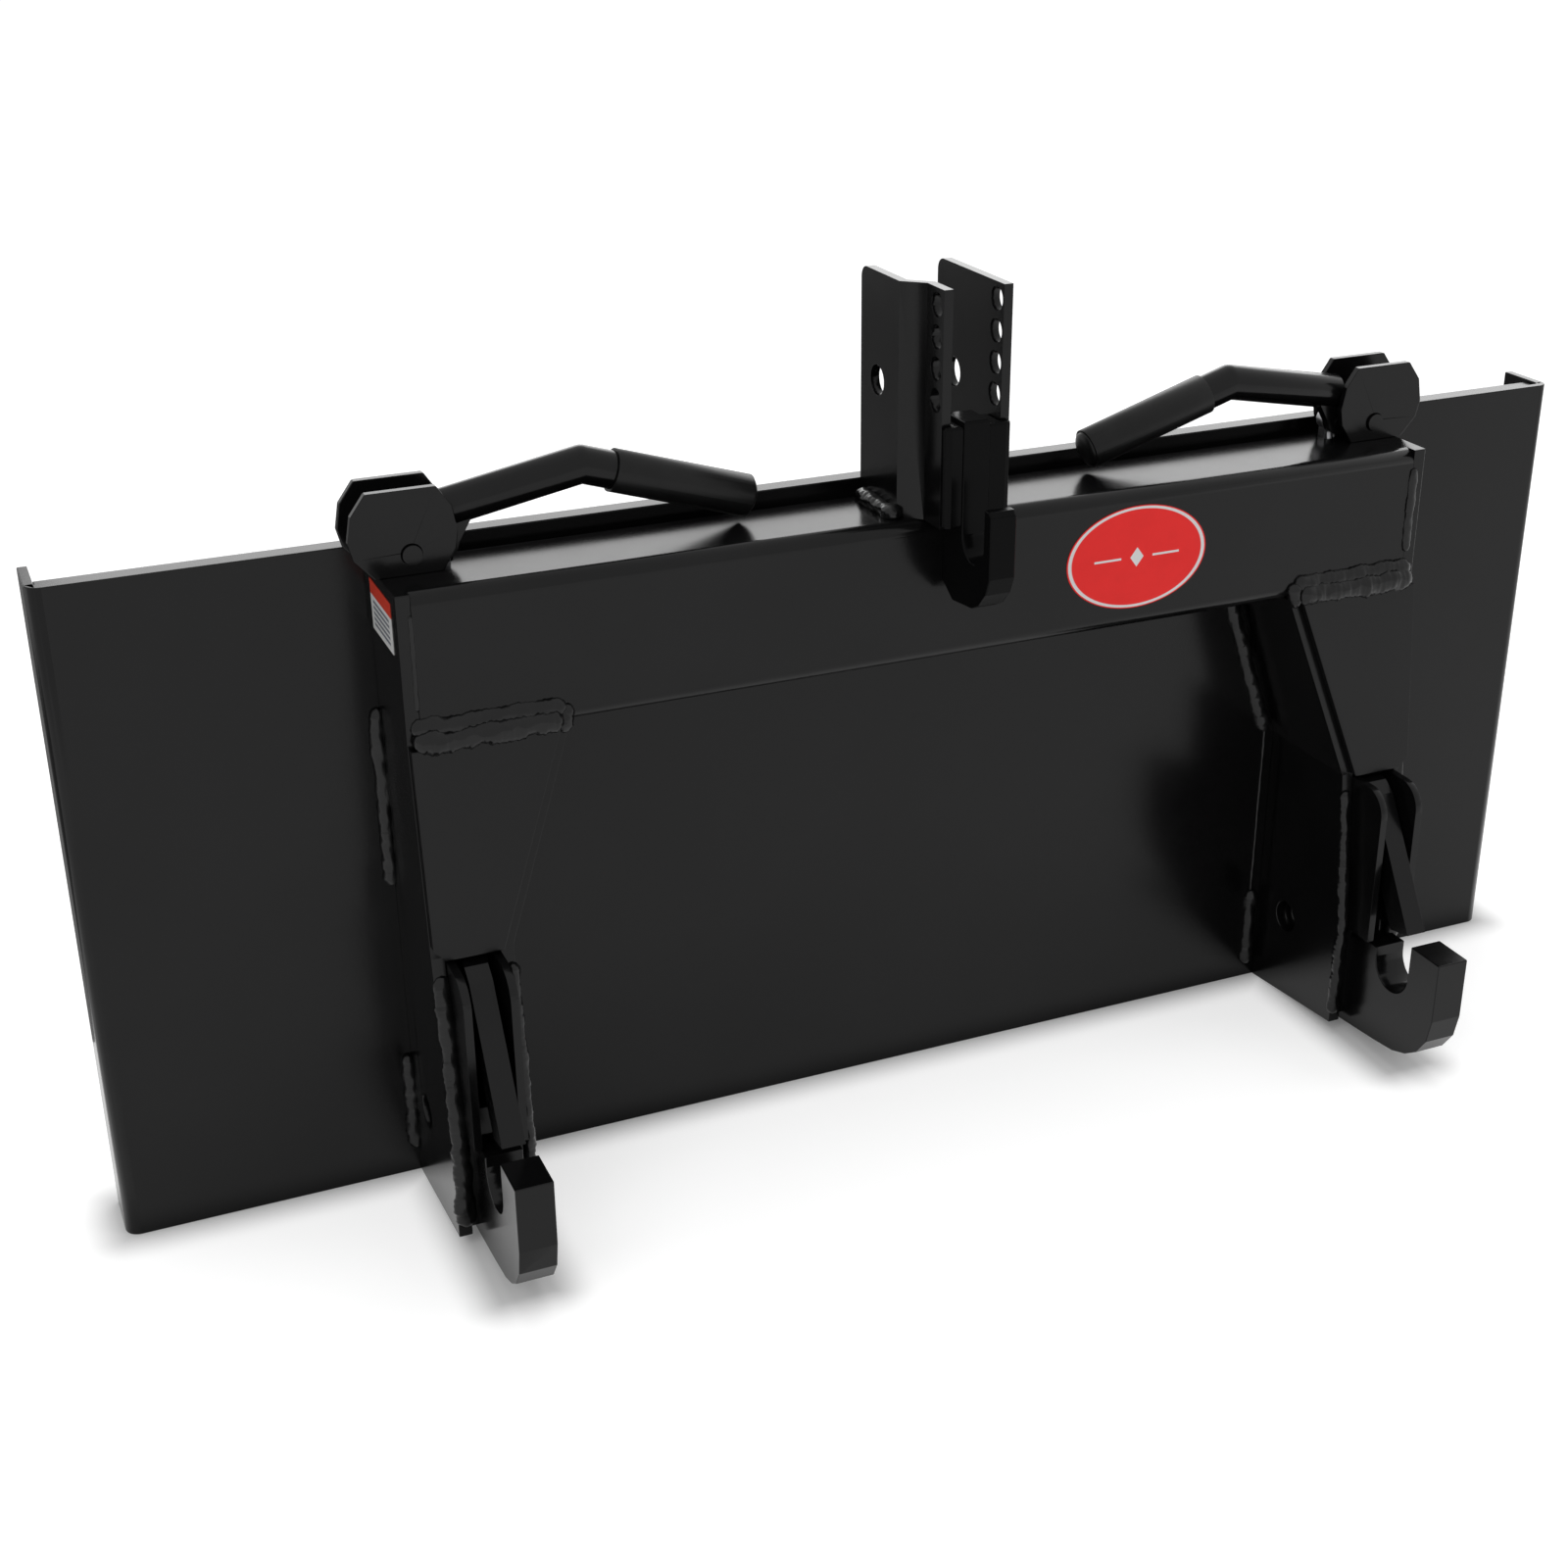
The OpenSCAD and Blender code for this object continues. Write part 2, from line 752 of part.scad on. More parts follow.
skid_plate();
top_lip();
bottom_ledge();
cross_beam();
outer_side(1);  // right_outer_side
outer_side(-1);  // left_outer_side
inner_side(1);  // right_inner_side
inner_side(-1);  // left_inner_side
cover(1);  // right_cover
cover(-1);  // left_cover
hook(1);  // right_hook
hook(-1);  // left_hook
outer_cheek(1);  // right_outer_cheek
outer_cheek(-1);  // left_outer_cheek
inner_cheek(1);  // right_inner_cheek
inner_cheek(-1);  // left_inner_cheek
latch(1);  // right_latch
latch(-1);  // left_latch
latch_pin(1);  // right_latch_pin
latch_pin(-1);  // left_latch_pin
tail_pin(1);  // right_tail_pin
tail_pin(-1);  // left_tail_pin
rod(1);  // right_rod
rod(-1);  // left_rod
front_ear(1);  // right_front_ear
front_ear(-1);  // left_front_ear
rear_ear(1);  // right_rear_ear
rear_ear(-1);  // left_rear_ear
lever(1);  // right_lever
lever(-1);  // left_lever
lever_pin(1);  // right_lever_pin
lever_pin(-1);  // left_lever_pin
crank_pin(1);  // right_crank_pin
crank_pin(-1);  // left_crank_pin
grip(1);  // right_grip
grip(-1);  // left_grip
mast(1);  // right_mast
mast(-1);  // left_mast
top_hook();
hook_strip(1);  // right_hook_strip
hook_strip(-1);  // left_hook_strip
seam(1);  // right_seam
seam(-1);  // left_seam
outer_weld(1);  // right_outer_weld
outer_weld(-1);  // left_outer_weld
inner_weld(1);  // right_inner_weld
inner_weld(-1);  // left_inner_weld
outer_foot_weld(1);  // right_outer_foot_weld
outer_foot_weld(-1);  // left_outer_foot_weld
inner_foot_weld(1);  // right_inner_foot_weld
inner_foot_weld(-1);  // left_inner_foot_weld
mast_weld(1);  // right_mast_weld
mast_weld(-1);  // left_mast_weld
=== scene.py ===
"""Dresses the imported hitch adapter: glossy black powder coat, weld beads, grips, badge and label."""

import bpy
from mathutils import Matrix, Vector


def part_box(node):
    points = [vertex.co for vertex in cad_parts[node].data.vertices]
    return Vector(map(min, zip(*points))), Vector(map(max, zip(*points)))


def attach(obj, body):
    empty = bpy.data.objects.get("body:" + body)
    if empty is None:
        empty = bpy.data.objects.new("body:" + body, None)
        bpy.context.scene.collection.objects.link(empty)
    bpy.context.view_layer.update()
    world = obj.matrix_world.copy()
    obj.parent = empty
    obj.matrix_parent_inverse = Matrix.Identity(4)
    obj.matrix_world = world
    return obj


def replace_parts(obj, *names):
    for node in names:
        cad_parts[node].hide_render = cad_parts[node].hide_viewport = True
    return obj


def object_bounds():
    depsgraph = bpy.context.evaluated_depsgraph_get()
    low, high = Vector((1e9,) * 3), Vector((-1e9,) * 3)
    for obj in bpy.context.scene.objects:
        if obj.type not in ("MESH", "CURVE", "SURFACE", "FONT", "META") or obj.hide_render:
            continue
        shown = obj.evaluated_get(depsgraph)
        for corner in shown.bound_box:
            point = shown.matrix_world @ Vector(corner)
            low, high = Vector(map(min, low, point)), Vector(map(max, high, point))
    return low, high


bl_info = {
    "name": "Three Point Hitch Adapter Dresser",
    "version": (1, 0, 0),
    "blender": (4, 5, 0),
    "location": "View3D > Sidebar > Hitch Adapter",
    "description": "Adds the finishes and small parts of a skid steer three point hitch adapter",
    "category": "Object",
}

import math

import bmesh
import bpy
from mathutils import Matrix, Vector, noise

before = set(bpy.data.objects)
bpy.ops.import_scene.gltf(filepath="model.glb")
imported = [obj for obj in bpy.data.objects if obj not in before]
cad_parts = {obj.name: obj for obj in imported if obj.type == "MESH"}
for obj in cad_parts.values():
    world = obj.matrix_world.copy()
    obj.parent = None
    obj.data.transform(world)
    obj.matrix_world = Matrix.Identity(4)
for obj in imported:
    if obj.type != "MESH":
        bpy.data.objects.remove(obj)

# Places taken from the frame, in metres. The front face of the skid plate stands at PLATE_Y
PLATE_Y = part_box("skid_plate")[0][1]
BEAM_LOW, BEAM_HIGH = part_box("cross_beam")
HITCH_X = (BEAM_LOW[0] + BEAM_HIGH[0]) / 2
LEG_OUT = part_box("right_outer_side")[1][0] - HITCH_X
LEG_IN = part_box("right_inner_cheek")[0][0] - HITCH_X
BEAM_FRONT = PLATE_Y - BEAM_LOW[1]
BOX_LOW, BOX_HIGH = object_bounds()
PLATE_HALF = BOX_HIGH[0]
SIDES = ((1, "right"), (-1, "left"))

# The inner plates of the legs lean towards the middle above LEAN_Z, by LEAN_REACH where they meet the beam
LEAN_Z = 0.22
LEAN_REACH = 0.0515
LEAN = LEAN_REACH / (BEAM_LOW[2] - LEAN_Z)
# Front edge of a leg's side plates: how far in front of the skid plate, and how high
SIDE_FRONT = ((0.1065, 0.018), (0.1065, 0.1), (0.0935, 0.208))
# The grips hang down towards their ends, as the bent levers do
GRIP_DROP = math.atan2(34.7, 111.0)

# Runs where a leg stands on the skid plate: place across, lower end, upper end and lean
OUTER_JOINT, INNER_JOINT = LEG_OUT + 0.0005, LEG_IN - 0.0165
STITCHES = {
    "outer_weld": (OUTER_JOINT, 0.232, 0.363, 0),
    "outer_foot_weld": (OUTER_JOINT, 0.02, 0.098, 0),
    "inner_weld": (INNER_JOINT, 0.222, 0.352, LEAN),
    "inner_foot_weld": (INNER_JOINT, 0.012, 0.082, 0),
}
# Lengths over which a run of weld swells, gets lumpy, sways and ripples
SWELL, LUMP, SWAY, RIPPLE = 0.016, 0.006, 0.03, 0.0007
# Radii of the softened edges of each kind of piece
EDGES = {"grip": 0.0025, "pin": 0.0006, "weld": 0.0015, "strip": 0.0028, "hook": 0.0013}

# Grain of the finishes: scale, detail and roughness of a noise
PEEL = (420.0, 2.0)
DUST = (60.0, 4.0, 0.6)
BLACK, WHITE = (0, 0, 0, 1), (1, 1, 1, 1)

# The camera stands where the picture was taken: angles in radians, focal length in picture points
CAMERA_TURN, CAMERA_TILT, CAMERA_ROLL = -0.394452794572545, 0.4332935860297841, -0.009853344032558577
CAMERA_PLACE = (-0.64218, -1.35446 + PLATE_Y, 0.93174)
FOCAL_LENGTH, PICTURE_WIDTH, SENSOR_WIDTH = 2284.074205, 1600, 36.0
# Lamps that light the object from outside the picture: place, width and share of the power
LAMPS = {
    "lamp left": ((-2.6, -2.2, 3.0), 2.4, 1.0),
    "lamp right": ((2.8, -1.6, 2.6), 2.0, 0.6),
    "lamp top": ((0.2, 0.6, 3.4), 2.6, 0.9),
}


# Shader maths

class Wire:
    """A shader socket that takes part in Python arithmetic."""

    def __init__(self, tree, socket):
        self.tree = tree
        self.socket = socket

    def _math(self, operation, *values):
        node = self.tree.make("ShaderNodeMath", {"operation": operation}, dict(enumerate(values)))
        return Wire(self.tree, node.outputs[0])

    def __add__(self, other):
        return self._math("ADD", self, other)

    __radd__ = __add__

    def __sub__(self, other):
        return self._math("SUBTRACT", self, other)

    def __rsub__(self, other):
        return self._math("SUBTRACT", other, self)

    def __mul__(self, other):
        return self._math("MULTIPLY", self, other)

    __rmul__ = __mul__

    def __truediv__(self, other):
        return self._math("DIVIDE", self, other)

    def __rtruediv__(self, other):
        return self._math("DIVIDE", other, self)

    def __neg__(self):
        return self._math("MULTIPLY", self, -1.0)

    def __abs__(self):
        return self._math("ABSOLUTE", self)

    def __pow__(self, other):
        return self._math("POWER", self, other)

    def sin_wave(self):
        """One full turn of a sine for each whole number."""
        return self._math("SINE", self * (2 * math.pi))

    def least(self, other):
        return self._math("MINIMUM", self, other)

    def most(self, other):
        return self._math("MAXIMUM", self, other)

    def ramp(self, low, high):
        """0 below low, 1 above high, a smooth step between."""
        node = self.tree.make("ShaderNodeMapRange", {"interpolation_type": "SMOOTHSTEP"},
                              {"Value": self, "From Min": low, "From Max": high})
        return Wire(self.tree, node.outputs["Result"])


class Tree:
    """The nodes of a material or a world, and the one method that adds them."""

    def __init__(self, owner):
        owner.use_nodes = True
        self.nodes = owner.node_tree.nodes
        self.links = owner.node_tree.links
        self.nodes.clear()

    def make(self, kind, settings=None, values=None):
        node = self.nodes.new(kind)
        for key, value in (settings or {}).items():
            setattr(node, key, value)
        for key, value in (values or {}).items():
            self.join(value, node.inputs[key])
        return node

    def join(self, value, socket):
        if isinstance(value, Wire):
            value = value.socket
        if isinstance(value, bpy.types.NodeSocket):
            self.links.new(value, socket)
        else:
            socket.default_value = value

    def seen(self):
        """1 for rays from the camera, from gloss and through clear materials, 0 for the others."""
        path = self.make("ShaderNodeLightPath")
        camera, gloss, clear = (Wire(self, path.outputs[kind])
                                for kind in ("Is Camera Ray", "Is Glossy Ray", "Is Transmission Ray"))
        return camera.most(gloss).most(clear)


class Finish(Tree):
    """A material around one Principled shader."""

    def __init__(self, name):
        self.material = bpy.data.materials.new(name)
        super().__init__(self.material)
        self.shader = self.make("ShaderNodeBsdfPrincipled")
        self.output = self.make("ShaderNodeOutputMaterial", {}, {"Surface": self.shader.outputs[0]})

    def set(self, **values):
        for key, value in values.items():
            self.join(value, self.shader.inputs[key.replace("_", " ")])

    def place(self):
        """Object coordinates in metres."""
        return self.make("ShaderNodeTexCoord").outputs["Object"]

    def axes(self):
        node = self.make("ShaderNodeSeparateXYZ", {}, {0: self.place()})
        return [Wire(self, node.outputs[i]) for i in range(3)]

    def noise(self, scale, detail=2.0, roughness=0.5, stretch=(1.0, 1.0, 1.0)):
        spot = self.make("ShaderNodeMapping", {}, {"Vector": self.place(), "Scale": stretch})
        values = {"Vector": spot.outputs[0], "Scale": scale, "Detail": detail, "Roughness": roughness}
        return Wire(self, self.make("ShaderNodeTexNoise", {}, values).outputs["Fac"])

    def blend(self, mask, low, high):
        node = self.make("ShaderNodeMix", {"data_type": "RGBA"}, {0: mask, 6: low, 7: high})
        return Wire(self, node.outputs[2])

    def bump(self, height, strength, distance):
        values = {"Strength": strength, "Distance": distance, "Height": height}
        self.set(Normal=self.make("ShaderNodeBump", {}, values).outputs[0])


def rgba(colour, pale=1.0):
    """A colour for a socket, made paler or darker by a factor."""
    return (colour[0] * pale, colour[1] * pale, colour[2] * pale, 1.0)


# Sizes and colours that a user would change

class HitchFinish(bpy.types.PropertyGroup):
    coat: bpy.props.FloatVectorProperty(
        name="Coat", description="Colour of the black powder coat",
        subtype="COLOR", size=3, default=(0.0022, 0.0022, 0.0023), min=0.0, max=1.0)
    coat_roughness: bpy.props.FloatProperty(
        name="Coat Roughness", description="Roughness of the powder coat",
        default=0.19, min=0.0, max=1.0, subtype="FACTOR")
    coat_shine: bpy.props.FloatProperty(
        name="Coat Shine", description="Specular level of the powder coat",
        default=0.21, min=0.0, max=1.0, subtype="FACTOR")
    grip: bpy.props.FloatVectorProperty(
        name="Grip", description="Colour of the hand grips",
        subtype="COLOR", size=3, default=(0.005, 0.005, 0.005), min=0.0, max=1.0)
    edge_round: bpy.props.FloatProperty(
        name="Edge Rounding", description="Radius of the softened plate edges",
        default=0.0008, min=0.0, max=0.003, unit="LENGTH")


class HitchBadge(bpy.types.PropertyGroup):
    width: bpy.props.FloatProperty(
        name="Width", description="Width of the oval badge",
        default=0.112, min=0.02, max=0.2, unit="LENGTH")
    height: bpy.props.FloatProperty(
        name="Height", description="Height of the oval badge",
        default=0.075, min=0.02, max=0.09, unit="LENGTH")
    offset: bpy.props.FloatProperty(
        name="Offset", description="Distance of the badge from the plate middle",
        default=0.159, min=0.0, max=0.3, unit="LENGTH")
    level: bpy.props.FloatProperty(
        name="Level", description="Height of the middle of the badge",
        default=0.416, min=0.38, max=0.45, unit="LENGTH")
    red: bpy.props.FloatVectorProperty(
        name="Red", description="Colour of the badge",
        subtype="COLOR", size=3, default=(0.98, 0.022, 0.02), min=0.0, max=1.0)
    rim: bpy.props.FloatVectorProperty(
        name="Rim", description="Colour of the rim",
        subtype="COLOR", size=3, default=(0.86, 0.86, 0.86), min=0.0, max=1.0)


class HitchStage(bpy.types.PropertyGroup):
    floor: bpy.props.FloatVectorProperty(
        name="Floor", description="Colour of the floor",
        subtype="COLOR", size=3, default=(0.8, 0.8, 0.8), min=0.0, max=1.0)
    glow_fading_to_painted_shadow: bpy.props.FloatProperty(
        name="Floor Glow", description="White that the camera sees added to the floor",
        default=0.6, min=0.0, max=1.0)
    far_glow: bpy.props.FloatProperty(
        name="Far Glow", description="The same where the floor is far away",
        default=0.72, min=0.0, max=1.0)
    lamp: bpy.props.FloatProperty(
        name="Lamp", description="Power of the large lamps",
        default=32.0, min=0.0, max=500.0)
    back_lamp: bpy.props.FloatProperty(
        name="Back Lamp", description="Power of the panel that the beam top mirrors",
        default=26.0, min=0.0, max=500.0)
    sky: bpy.props.FloatProperty(
        name="Sky", description="Strength of the soft light from all round",
        default=0.42, min=0.0, max=1.0)


# Mesh helpers

def new_piece(name, mesh_maker, material, body="frame"):
    bm = bmesh.new()
    mesh_maker(bm)
    mesh = bpy.data.meshes.new(name)
    bm.to_mesh(mesh)
    bm.free()
    mesh.materials.append(material)
    piece = bpy.data.objects.new(name, mesh)
    bpy.context.scene.collection.objects.link(piece)
    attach(piece, body)
    return piece


def dress(name, material, edge=0.0):
    """Gives a node its finish and, where edge is given, softened edges."""
    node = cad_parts[name]
    for slot in node.material_slots:
        slot.material = material
    if not node.material_slots:
        node.data.materials.append(material)
    if edge > 0:
        weld = node.modifiers.new("Weld", "WELD")
        weld.merge_threshold = 0.00002
        bevel = node.modifiers.new("Edge", "BEVEL")
        bevel.width = edge
        bevel.segments = 2
        bevel.limit_method = "ANGLE"
        bevel.angle_limit = math.radians(40)
        bevel.harden_normals = True
        bevel.use_clamp_overlap = True


# Finishes

def powder_coat(name, look, shine=1.0):
    """Glossy black powder coat with faint orange peel, soft clouds and a little dust."""
    finish = Finish(name)
    peel = finish.noise(*PEEL)
    cloud = finish.noise(9.0, 3.0, 0.55)
    dust = finish.noise(*DUST)
    finish.set(Base_Color=finish.blend(cloud.ramp(0.35, 0.75), rgba(look.coat), rgba(look.coat, 1.8)),
               Roughness=look.coat_roughness + (cloud - 0.5) * 0.08 + (dust - 0.5) * 0.05,
               Specular_IOR_Level=look.coat_shine * shine)
    finish.bump(peel + cloud * 0.6, 0.06, 0.0003)
    return finish.material


def coated_weld(name, look, along):
    """The same coat over a run of weld: lumps and tongues drawn out along the joint."""
    finish = Finish(name)
    stretch = tuple(0.22 if axis == along else 1.0 for axis in "XYZ")
    tongue = finish.noise(150.0, 3.0, 0.55, stretch)
    lump = finish.noise(90.0, 2.0, 0.5)
    peel = finish.noise(*PEEL)
    finish.set(Base_Color=finish.blend(tongue.ramp(0.35, 0.7), rgba(look.coat), rgba(look.coat, 2.0)),
               Roughness=look.coat_roughness + (lump - 0.5) * 0.1,
               Specular_IOR_Level=look.coat_shine * 1.3)
    finish.bump(tongue * 1.2 + lump * 1.2 + peel * 0.06, 0.3, 0.0009)
    return finish.material


def plated(name):
    """Plain plated steel with a fine grain across the rods."""
    finish = Finish(name)
    grain = finish.noise(300.0, 3.0, 0.6, (1.0, 1.0, 6.0))
    finish.set(Base_Color=finish.blend(grain.ramp(0.3, 0.7), (0.3, 0.3, 0.31, 1), (0.4, 0.4, 0.41, 1)),
               Roughness=0.3 + grain * 0.15, Metallic=1.0)
    finish.bump(grain, 0.1, 0.0002)
    return finish.material


def grip_sleeve(name, look):
    """Smooth dipped vinyl with a soft sheen and slight rubbed patches."""
    finish = Finish(name)
    pore = finish.noise(700.0, 2.0, 0.6)
    worn = finish.noise(30.0, 3.0, 0.6)
    finish.set(Base_Color=finish.blend(worn.ramp(0.4, 0.8), rgba(look.grip), rgba(look.grip, 1.8)),
               Roughness=0.3 + worn * 0.12, Specular_IOR_Level=0.2)
    finish.bump(pore * 0.6 + worn * 0.5, 0.1, 0.0003)
    return finish.material


# Operators, one for each group of pieces

class HITCH_OT_coat(bpy.types.Operator):
    """Gives every steel piece its black powder coat"""
    bl_idname = "hitch.coat"
    bl_label = "Powder Coat"

    def execute(self, context):
        look = context.scene.hitch_finish
        coat = powder_coat("black powder coat", look)
        deep = powder_coat("deep black powder coat", look, 0.25)
        seam = coated_weld("black coat over cross weld", look, "X")
        bead = coated_weld("black coat over upright weld", look, "Z")
        steel = plated("plated steel")
        sleeve = grip_sleeve("hand grip", look)
        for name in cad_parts:
            if name.endswith("_grip"):
                dress(name, sleeve, EDGES["grip"])
            elif name.endswith("_rod"):
                dress(name, steel, EDGES["pin"])
            elif name.endswith("_pin"):
                dress(name, coat, EDGES["pin"])
            elif name.endswith("_seam"):
                dress(name, seam, EDGES["weld"])
            elif "weld" in name:
                dress(name, bead, EDGES["weld"])
            elif "strip" in name:
                dress(name, deep, EDGES["strip"])
            elif name == "top_hook":
                dress(name, deep, EDGES["hook"])
            else:
                dress(name, coat, look.edge_round)
        return {"FINISHED"}


class HITCH_OT_beads(bpy.types.Operator):
    """Lays the lumpy weld beads along the joints of the legs, the beam and the mast"""
    bl_idname = "hitch.beads"
    bl_label = "Weld Beads"

    def execute(self, context):
        look = context.scene.hitch_finish
        bead = coated_weld("black coat over weld bead", look, "Z")
        cross = coated_weld("black coat over level bead", look, "X")
        mast = coated_weld("black coat over mast bead", look, "Y")
        for s, name in SIDES:
            self.stitches(s, name, bead)
            self.edges(s, name, bead)
            self.seam(s, name, cross)
            self.foot(s, name, mast)
        return {"FINISHED"}

    def stitches(self, s, name, material):
        """Four runs where the side plates of a leg stand on the skid plate."""
        for kind, (x, low, high, lean) in STITCHES.items():
            side = s if kind.startswith("outer") else -s
            start = HITCH_X + s * x + side * 0.002
            end = start - s * lean * (high - low)
            line = [(start, PLATE_Y - 0.0012, low), (end, PLATE_Y - 0.0012, high)]
            runs = [(line, 0.0056, 0.0042, (side * 0.35, -1, 0))]
            if kind == "inner_weld":
                # A thin root run joins it to the one at the foot
                root = [(start, PLATE_Y - 0.0005, 0.075), (start, PLATE_Y - 0.0005, 0.226)]
                runs.append((root, 0.0013, 0.0013, (0, -1, 0)))
            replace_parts(self.lay(name + "_" + kind[:-4] + "bead", material, runs), name + "_" + kind)

    def edges(self, s, name, material):
        """Runs down the front edges of the side plates, beside the cheeks, and at the end of the beam."""
        for kind, x, wide in (("outer", LEG_OUT - 0.0055, 0.0066), ("inner", LEG_IN - 0.0065, 0.0046)):
            x = HITCH_X + s * x
            line = [(x, PLATE_Y - front, z) for front, z in SIDE_FRONT]
            self.lay(name + "_" + kind + "_edge_bead", material, [(line, wide, 0.0042, (0, -1, 0))])
        x = HITCH_X + s * (LEG_OUT - 0.0085)
        line = [(x, PLATE_Y - BEAM_FRONT, z) for z in (BEAM_LOW[2] + 0.024, BEAM_HIGH[2] - 0.013)]
        wide = 0.0036 if s > 0 else 0.0013
        self.lay(name + "_beam_end_bead", material, [(line, wide, wide * 0.6, (0, -1, 0))])

    def seam(self, s, name, material):
        """Two layers under the beam, over the top edge of the cover plate, with a curl at their inner end."""
        low = BEAM_LOW[2]
        inner, outer = LEG_IN - 0.057, LEG_OUT - 0.0035

        def spot(x, front, z):
            return (HITCH_X + s * x, PLATE_Y - front, z)

        upper = ([spot(x, BEAM_FRONT + 0.0005, low + 0.0125) for x in (inner - 0.002, outer + 0.001)],
                 0.0068, 0.0042, (0, -1, 0.35))
        lower = ([spot(x, BEAM_FRONT + 0.003, low + 0.0042) for x in (inner + 0.001, outer + 0.001)],
                 0.0078, 0.0064, (0, -1, 0.15))
        curl = ([spot(inner - 0.003, BEAM_FRONT, low + 0.014),
                 spot(inner + 0.002, BEAM_FRONT + 0.0015, low - 0.006)], 0.0055, 0.0048, (0, -1, 0))
        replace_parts(self.lay(name + "_seam_bead", material, [upper, lower, curl]), name + "_seam")

    def foot(self, s, name, mast):
        """The run that joins a mast plate to the top of the beam."""
        low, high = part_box(name + "_mast_weld")
        wall = high[0] - 0.0035 if s < 0 else low[0] + 0.0035
        line = [(wall, y, low[2] + 0.0025) for y in (high[1] + 0.001, low[1] - 0.009)]
        run = (line, 0.0062, 0.0055, (0, 0, 1))
        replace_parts(self.lay(name + "_mast_bead", mast, [run]), name + "_mast_weld")

    def lay(self, name, material, runs):
        """Runs of weld swept along their lines: flattened and lumpy, with waves and rounded ends.

        Each run is its line, its half width, its height and the way that it faces.
        """
        def sweep(bm):
            for line, wide, high, outward in runs:
                points = [Vector(point) for point in line]
                length = sum((b - a).length for a, b in zip(points, points[1:]))
                seed = (points[0].x + points[0].z) * 37
                steps = max(10, round(length / 0.0016))
                grid = bmesh.ops.create_grid(bm, x_segments=18, y_segments=steps, size=1.0)
                for vert in grid["verts"]:
                    turn = (vert.co.x + 1) * math.pi
                    reach = (vert.co.y + 1) / 2 * length
                    vert.co = self.skin(points, length, reach, turn, wide, high, Vector(outward), seed)
            bmesh.ops.remove_doubles(bm, verts=bm.verts, dist=0.000005)
            bmesh.ops.recalc_face_normals(bm, faces=bm.faces)

        piece = new_piece(name, sweep, material)
        for face in piece.data.polygons:
            face.use_smooth = True
        return piece

    def skin(self, points, length, reach, turn, wide, high, outward, seed):
        """One point of the surface of a run."""
        left = reach
        for a, b in zip(points, points[1:]):
            along = (b - a).normalized()
            spot = a + along * left
            if left <= (b - a).length:
                break
            left -= (b - a).length
        side = along.cross(outward).normalized()
        up = side.cross(along)
        end = min(1.0, min(reach, length - reach) / (wide * 1.3))
        swell = math.sqrt(max(0.0, 1 - (1 - end) ** 2))
        wave = 1 + 0.2 * noise.noise(Vector((reach / SWELL, seed, 0))) + 0.05 * math.sin(reach / RIPPLE)
        ring = (math.cos(turn) * 1.3, math.sin(turn) * 1.3 + seed)
        lump = 1 + 0.22 * noise.noise(Vector((reach / LUMP, *ring)))
        sway = 0.22 * wide * noise.noise(Vector((reach / SWAY, seed, 7))) * swell
        size = swell * wave * lump
        return spot + side * (math.cos(turn) * wide * size + sway) + up * (math.sin(turn) * high * size)


class HITCH_OT_grip_ends(bpy.types.Operator):
    """Closes the hand grips with soft domes"""
    bl_idname = "hitch.grip_ends"
    bl_label = "Grip Ends"

    def execute(self, context):
        material = grip_sleeve("grip end", context.scene.hitch_finish)
        fall, across = math.sin(GRIP_DROP), math.cos(GRIP_DROP)
        for s, name in SIDES:
            low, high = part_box(name + "_grip")
            radius = (high[1] - low[1]) / 2
            tip_x = low[0] + radius * fall if s > 0 else high[0] - radius * fall
            tip = Vector((tip_x, (low[1] + high[1]) / 2, low[2] + radius * across))
            away = Vector((-s * across, 0, -fall))
            turn = away.to_track_quat("Z", "Y").to_matrix().to_4x4()

            def dome(bm):
                bmesh.ops.create_uvsphere(bm, u_segments=32, v_segments=16, radius=1.0)
                everything = bm.verts[:] + bm.edges[:] + bm.faces[:]
                bmesh.ops.bisect_plane(bm, geom=everything, plane_co=(0, 0, -0.2), plane_no=(0, 0, -1),
                                       clear_outer=True)
                rim = [edge for edge in bm.edges if edge.is_boundary]
                bmesh.ops.holes_fill(bm, edges=rim)
                bmesh.ops.scale(bm, vec=(radius * 0.9, radius * 0.9, radius * 0.36), verts=bm.verts)
                bmesh.ops.transform(bm, matrix=Matrix.Translation(tip) @ turn, verts=bm.verts)
                bmesh.ops.recalc_face_normals(bm, faces=bm.faces)

            piece = new_piece(name + "_grip_end", dome, material, body=name + "_lever_body")
            for face in piece.data.polygons:
                face.use_smooth = len(face.vertices) < 5
        return {"FINISHED"}


